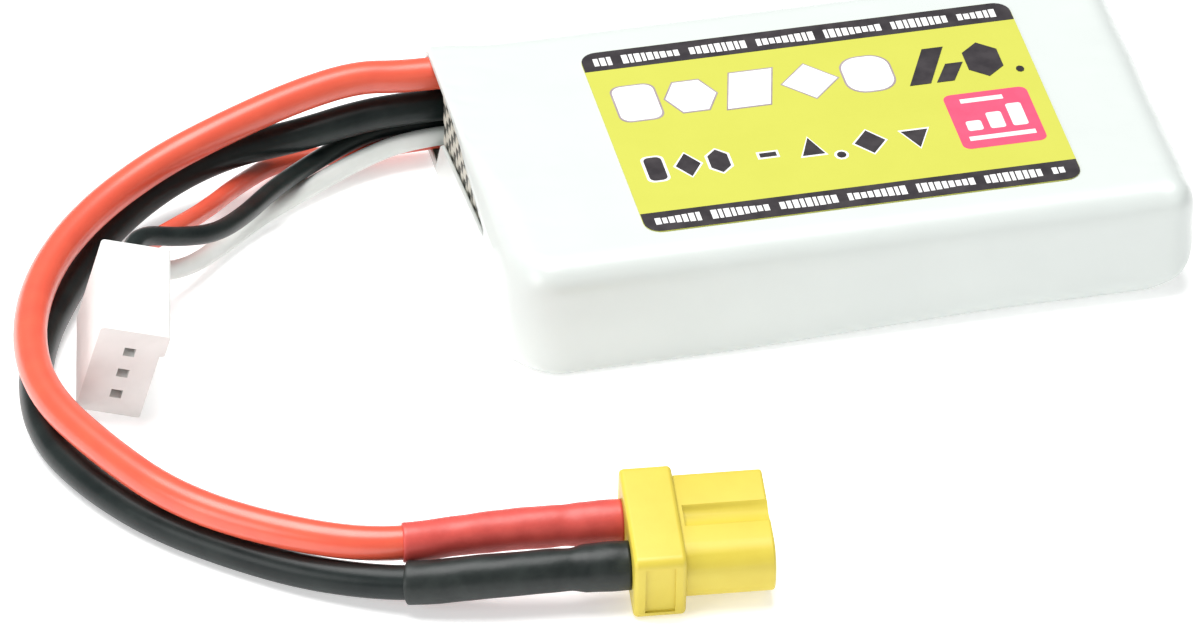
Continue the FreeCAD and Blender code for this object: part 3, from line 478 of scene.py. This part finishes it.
def small_print(v, height, k):
    """A line of tiny marks in uneven groups, which say nothing; k counts the marks."""
    marks = []
    u = 1.0
    while u < LABEL_SIZE.x - 1.4:
        width = 0.28 + 0.22 * abs(math.sin(1.7 * k))
        tall = height * (0.62 + 0.38 * abs(math.sin(2.9 * k + 1)))
        marks.append(bar(u, u + width, v - tall / 2, v + tall / 2))
        u += width + (0.9 if k % 9 == 0 else 0.13)
        k += 1
    return marks


def make_label():
    width, depth = LABEL_SIZE.x, LABEL_SIZE.y
    sheet = print_layer("label_sheet", [bar(0, width, 0, depth, 1.5)], 0, LOOKS["paper"], base=LABEL_LOW.z)
    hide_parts("label")
    ends = 0.02
    print_layer("label_bands", [band(ends, width - ends, ends, BAND, 1.4),
                                band(ends, width - ends, depth - ends, depth - BAND, 1.4)], 1, LOOKS["ink"])
    lines = small_print(0.52 * BAND, 1.25, 3) + small_print(depth - 0.55 * BAND, 1.25, 7)
    print_layer("label_small_print", lines, 2, LOOKS["ink_white"])
    # Upper row: five pale shapes with thin edges, then three dark ones.
    middle, tall = 18.3, 5.0
    low, high = middle - tall / 2, middle + tall / 2
    pale = [bar(1.5, 5.0, low, high, 0.9), regular(7.8, middle, 4.3, tall, 6),
            [(10.4, low), (14.0, low), (15.2, high), (11.6, high)],
            regular(17.9, middle, 4.7, tall, 4), bar(20.8, 24.8, low, high, 1.6)]
    bold = [[(25.8, low), (27.6, low), (29.8, high), (28.0, high)],
            [(28.1, low), (29.6, low), (30.9, middle), (29.4, middle)],
            regular(32.6, middle, 3.4, tall, 6, 30)]
    print_layer("label_row_edges", [grown(shape, 0.16) for shape in pale], 1, LOOKS["ink_grey"])
    print_layer("label_row_pale", pale, 2, LOOKS["ink_white"])
    print_layer("label_row_bold", bold + [regular(35.3, 16.3, 0.7, 0.9, 8)], 3, LOOKS["ink"])
    # Lower row: plain signs, dark on a pale edge.
    middle, tall = 8.7, 3.3
    signs = [bar(1.9, 3.4, middle - tall / 2, middle + tall / 2, 0.5),
             regular(5.4, middle, 2.1, tall, 4), regular(8.0, middle, 1.9, tall, 6, 30),
             bar(11.4, 12.8, middle - 0.3, middle + 0.3), regular(15.8, middle, 2.2, tall, 3, 90),
             regular(18.0, middle - 1.3, 0.8, 0.9, 10), regular(20.7, middle, 2.6, tall, 4),
             regular(24.6, middle, 2.6, tall, 3, 270)]
    print_layer("label_signs_edge", [grown(shape, 0.22) for shape in signs], 1, LOOKS["ink_white"])
    print_layer("label_signs", signs, 2, LOOKS["ink"])
    # Badge: a pink tile with three pale steps between two thin lines.
    left, low = 28.0, 5.9
    print_layer("label_badge", [bar(left, left + 7.1, low, low + 7.9, 0.7)], 1, LOOKS["ink_pink"])
    steps = [bar(left + 1.0 + 1.9 * k, left + 2.3 + 1.9 * k, low + 2.5, low + 3.9 + 0.9 * k, 0.25)
             for k in range(3)]
    print_layer("label_badge_marks", steps + [bar(left + 1.3, left + 4.9, low + 6.5, low + 7.1),
                                              bar(left + 0.8, left + 6.4, low + 1.1, low + 1.7)],
                2, LOOKS["ink_white"])


make_label()


# ---------------------------------------------------------------- leads

LEAD_CORNER = Vector((WRAP_LOW.x, WRAP_HIGH.y - 2.2, 0))

# Points of each lead's route in millimetres from the foot of the leads' plane at the pack's lead end:
# board, free lie, contact.
ROUTES = {
    "main_lead_red": [
        (1.6, 0.0, 8.6), (-2.2, 0.0, 8.6), (-6.1, 0.3, 9.0), (-11.5, -0.8, 8.6), (-17.9, -2.9, 7.8),
        (-24.5, -5.3, 6.6), (-31.0, -9.8, 5.5), (-35.8, -16.1, 4.8), (-38.5, -24.1, 4.5),
        (-38.5, -32.3, 4.5), (-35.2, -40.3, 4.4), (-30.7, -48.1, 4.3), (-23.8, -53.9, 4.3),
        (-15.9, -57.8, 4.3), (-7.46, -57.22, 4.15), (-0.89, -57.87, 4.15)],
    "main_lead_black": [
        (1.6, 0.0, 5.4), (-2.2, 0.0, 5.4), (-6.1, -0.2, 5.3), (-11.5, -1.3, 4.9), (-17.7, -1.4, 4.3),
        (-23.9, -3.6, 3.2), (-29.5, -8.1, 2.1), (-33.3, -13.9, 1.5), (-36.7, -20.3, 1.4),
        (-38.5, -27.1, 1.4), (-38.7, -33.9, 1.4), (-36.2, -40.7, 1.4), (-32.3, -46.8, 1.4),
        (-27.0, -52.0, 1.4), (-21.2, -56.7, 1.6), (-14.3, -60.5, 2.3), (-7.94, -62.15, 3.45),
        (-1.37, -62.79, 3.45)],
    "balance_lead_black": [
        (1.6, 0.9, 3.05), (-2.0, 0.9, 3.05), (-5.9, 0.6, 2.8), (-10.7, -1.9, 2.3), (-14.8, -6.7, 3.6),
        (-18.2, -12.1, 5.2), (-21.3, -15.8, 6.5), (-24.7, -17.7, 8.0), (-27.7, -19.0, 9.6),
        (-29.18, -20.9, 9.97), (-29.56, -22.82, 9.59)],
    "balance_lead_red": [
        (1.6, 0.6, 1.45), (-2.0, 0.6, 1.45), (-6.9, 0.9, 0.9), (-12.7, 0.9, 1.1), (-17.1, -3.4, 2.2),
        (-20.9, -9.5, 4.4), (-24.9, -14.3, 6.2), (-28.1, -17.9, 7.5), (-29.68, -20.3, 7.58),
        (-30.06, -22.25, 7.21)],
    "balance_lead_white": [
        (1.6, -0.7, 2.7), (-2.0, -0.7, 2.7), (-6.5, -1.5, 1.8), (-11.5, -3.8, 1.1), (-15.8, -6.4, 0.9),
        (-19.7, -10.1, 1.1), (-22.9, -13.5, 1.9), (-25.9, -15.5, 3.1), (-28.7, -17.2, 4.5),
        (-30.17, -19.75, 5.2), (-30.55, -21.68, 4.83)],
}


def make_lead(node, look, diameter):
    """A free lead on one smooth line through its listed points."""
    curve = bpy.data.curves.new(node + "_insulation", "CURVE")
    curve.dimensions = "3D"
    spline = curve.splines.new("NURBS")
    route = [(LEAD_CORNER + Vector(point)) * MM for point in ROUTES[node]]
    spline.points.add(len(route) - 1)
    for control, place in zip(spline.points, route):
        control.co = (*place, 1)
        control.radius = diameter / 2 * MM
    spline.order_u = 3
    spline.use_endpoint_u = True
    curve.resolution_u = 8
    piece = bpy.data.objects.new(node + "_insulation", curve)
    scene.collection.objects.link(piece)
    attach(piece, "root")
    bpy.context.view_layer.update()
    line = bpy.data.meshes.new_from_object(piece)
    centreline = [vertex.co / MM for vertex in line.vertices]
    bpy.data.meshes.remove(line)
    curve.bevel_depth = 1.0
    curve.bevel_resolution = 6
    curve.use_fill_caps = True
    curve.materials.append(LOOKS[look])
    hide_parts(node)
    return piece, centreline


# ---------------------------------------------------------------- heat-shrink sleeves

SLEEVE_LENGTH = 17.6
CUP_REACH = 4.3         # end of a lead to the back of the connector's grip
RING_STEPS = 40


def make_sleeve(node, centreline, look, girths, seed):
    """Shrunk sleeve along the end of a lead and over its solder cup; girths are (distance from the
    connector, outer radius)."""
    last = (centreline[-1] - centreline[-2]).normalized()
    path = [centreline[-1] + last * CUP_REACH]
    for point in reversed(centreline):
        path.append(point)
    stations, travelled, here = [], 0.0, 0
    step = 0.22
    for count in range(int(SLEEVE_LENGTH / step) + 1):
        target = count * step
        while travelled + (path[here + 1] - path[here]).length < target:
            travelled += (path[here + 1] - path[here]).length
            here += 1
        along = (path[here + 1] - path[here]).normalized()
        stations.append((target, path[here] + along * (target - travelled), along))
    points, rings = [], []

    def add_ring(centre, along, radius, rough):
        side = along.cross(Vector((0, 0, 1))).normalized()
        upward = side.cross(along).normalized()
        ring = []
        for k in range(RING_STEPS):
            angle = 2 * math.pi * k / RING_STEPS
            way = side * math.cos(angle) + upward * math.sin(angle)
            spot = centre + way * radius
            wave = grain(Vector((spot.x * 0.7, spot.y, spot.z)), 1.5, seed)
            ring.append(len(points))
            points.append(centre + way * (radius + rough * wave))
        rings.append(ring)

    for target, centre, along in stations:
        lively = 0.05 + 0.05 * (1 - ease(abs(target - 4.6) / 2.0))
        add_ring(centre, along, between(girths, target), lively)
    target, centre, along = stations[-1]
    add_ring(centre + along * 0.08, along, girths[-1][1] - 0.05, 0.03)
    add_ring(centre + along * 0.10, along, girths[-1][1] - 0.16, 0.0)
    for target, centre, along in reversed(stations):
        if target > 4.6:
            add_ring(centre, along, 1.41, 0.0)
    target, centre, along = stations[0]
    add_ring(centre, along, 1.62, 0.0)
    faces = bridge(rings + [rings[0]])
    piece = make_piece(node + "_film", points, faces, LOOKS[look])
    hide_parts(node)
    return piece


MAIN_DIAMETER = 2.8
BALANCE_DIAMETER = 1.6
MAIN_LEADS = {
    "main_lead_red": ("red_rubber", "silicone_red", 0.1096,
                      ("contact_positive", "main_core_red", "cup_solder", "connector_housing")),
    "main_lead_black": ("black_rubber", "silicone_black", 0.1115,
                        ("contact_negative", "main_core_black", "connector_housing")),
}
BALANCE_LEADS = {
    "balance_lead_black": ("black_rubber", "silicone_black", 0.0429),
    "balance_lead_red": ("red_rubber", "silicone_red", 0.0441),
    "balance_lead_white": ("white_rubber", "silicone_white", 0.0411),
}
GIRTHS = {
    "sleeve_red": [(0, 1.78), (1.2, 1.80), (3.2, 1.76), (4.7, 1.66), (6.0, 1.70), (10, 1.66), (14, 1.60),
                   (17.0, 1.60), (17.6, 1.62)],
    "sleeve_black": [(0, 1.97), (1.4, 2.0), (3.3, 1.93), (4.7, 1.73), (6.2, 1.76), (12, 1.77), (17.0, 1.78),
                     (17.6, 1.79)],
}


def make_leads():
    for (node, (look, slot, length, carried)), sleeve in zip(MAIN_LEADS.items(), GIRTHS):
        lead, centreline = make_lead(node, look, MAIN_DIAMETER)
        film = make_sleeve(sleeve, centreline, "red_sleeve" if sleeve == "sleeve_red" else "black_sleeve",
                           GIRTHS[sleeve], 2.0 if sleeve == "sleeve_red" else 6.0)
    for node, (look, slot, length) in BALANCE_LEADS.items():
        lead, centreline = make_lead(node, look, BALANCE_DIAMETER)


make_leads()


# ---------------------------------------------------------------- connectors

soften("connector_housing", 0.18)
soften("balance_housing", 0.12)
soften("contact_positive", 0.06, segments=2)
soften("contact_negative", 0.06, segments=2)
soften("balance_contacts", 0.04, segments=2)


# ---------------------------------------------------------------- table, light and camera

def make_floor():
    half = 1.5
    mesh = bpy.data.meshes.new("table")
    corners = [(-half, -half, 0), (half, -half, 0), (half, half, 0), (-half, half, 0)]
    mesh.from_pydata(corners, [], [(0, 1, 2, 3)])
    mesh.materials.append(surface("table_white", (0.90, 0.90, 0.90), (0.89, 0.89, 0.89), 200, 0.9,
                                  Emission_Color=(1, 1, 1, 1), Emission_Strength=0.40))
    floor = bpy.data.objects.new("table", mesh)
    floor.location.z = -0.02 * MM
    scene.collection.objects.link(floor)


def make_light(name, place, aim, size, power):
    data = bpy.data.lights.new(name, "AREA")
    data.shape = "DISK"
    data.size = size
    data.energy = power
    light = bpy.data.objects.new(name, data)
    light.location = place
    light.rotation_mode = "QUATERNION"
    light.rotation_quaternion = (Vector(place) - Vector(aim)).to_track_quat("Z", "Y")
    scene.collection.objects.link(light)


def make_camera():
    aim = Vector((-19.42, -9.18, 0)) * MM
    azimuth, elevation, distance = math.radians(-12.47), math.radians(35.7), 0.9836
    back = Vector((math.sin(azimuth) * math.cos(elevation), -math.cos(azimuth) * math.cos(elevation),
                   math.sin(elevation)))
    data = bpy.data.cameras.new("camera")
    data.lens = 360
    data.sensor_width = 36
    data.clip_start, data.clip_end = 0.05, 20
    camera = bpy.data.objects.new("camera", data)
    camera.location = aim + back * distance
    camera.rotation_mode = "QUATERNION"
    camera.rotation_quaternion = back.to_track_quat("Z", "Y")
    scene.collection.objects.link(camera)
    scene.camera = camera


make_floor()
middle = (-0.02, -0.01, 0.0)
make_light("overhead", (-0.15, 0.10, 0.80), middle, 0.7, 9.8)
make_light("left_fill", (-0.80, -0.35, 0.35), middle, 0.5, 2.7)
make_light("front_fill", (0.15, -0.90, 0.40), middle, 0.6, 0.25)
world = bpy.data.worlds.new("studio")
world.use_nodes = True
world.node_tree.nodes["Background"].inputs["Color"].default_value = (1, 1, 1, 1)
world.node_tree.nodes["Background"].inputs["Strength"].default_value = 0.30
scene.world = world
make_camera()
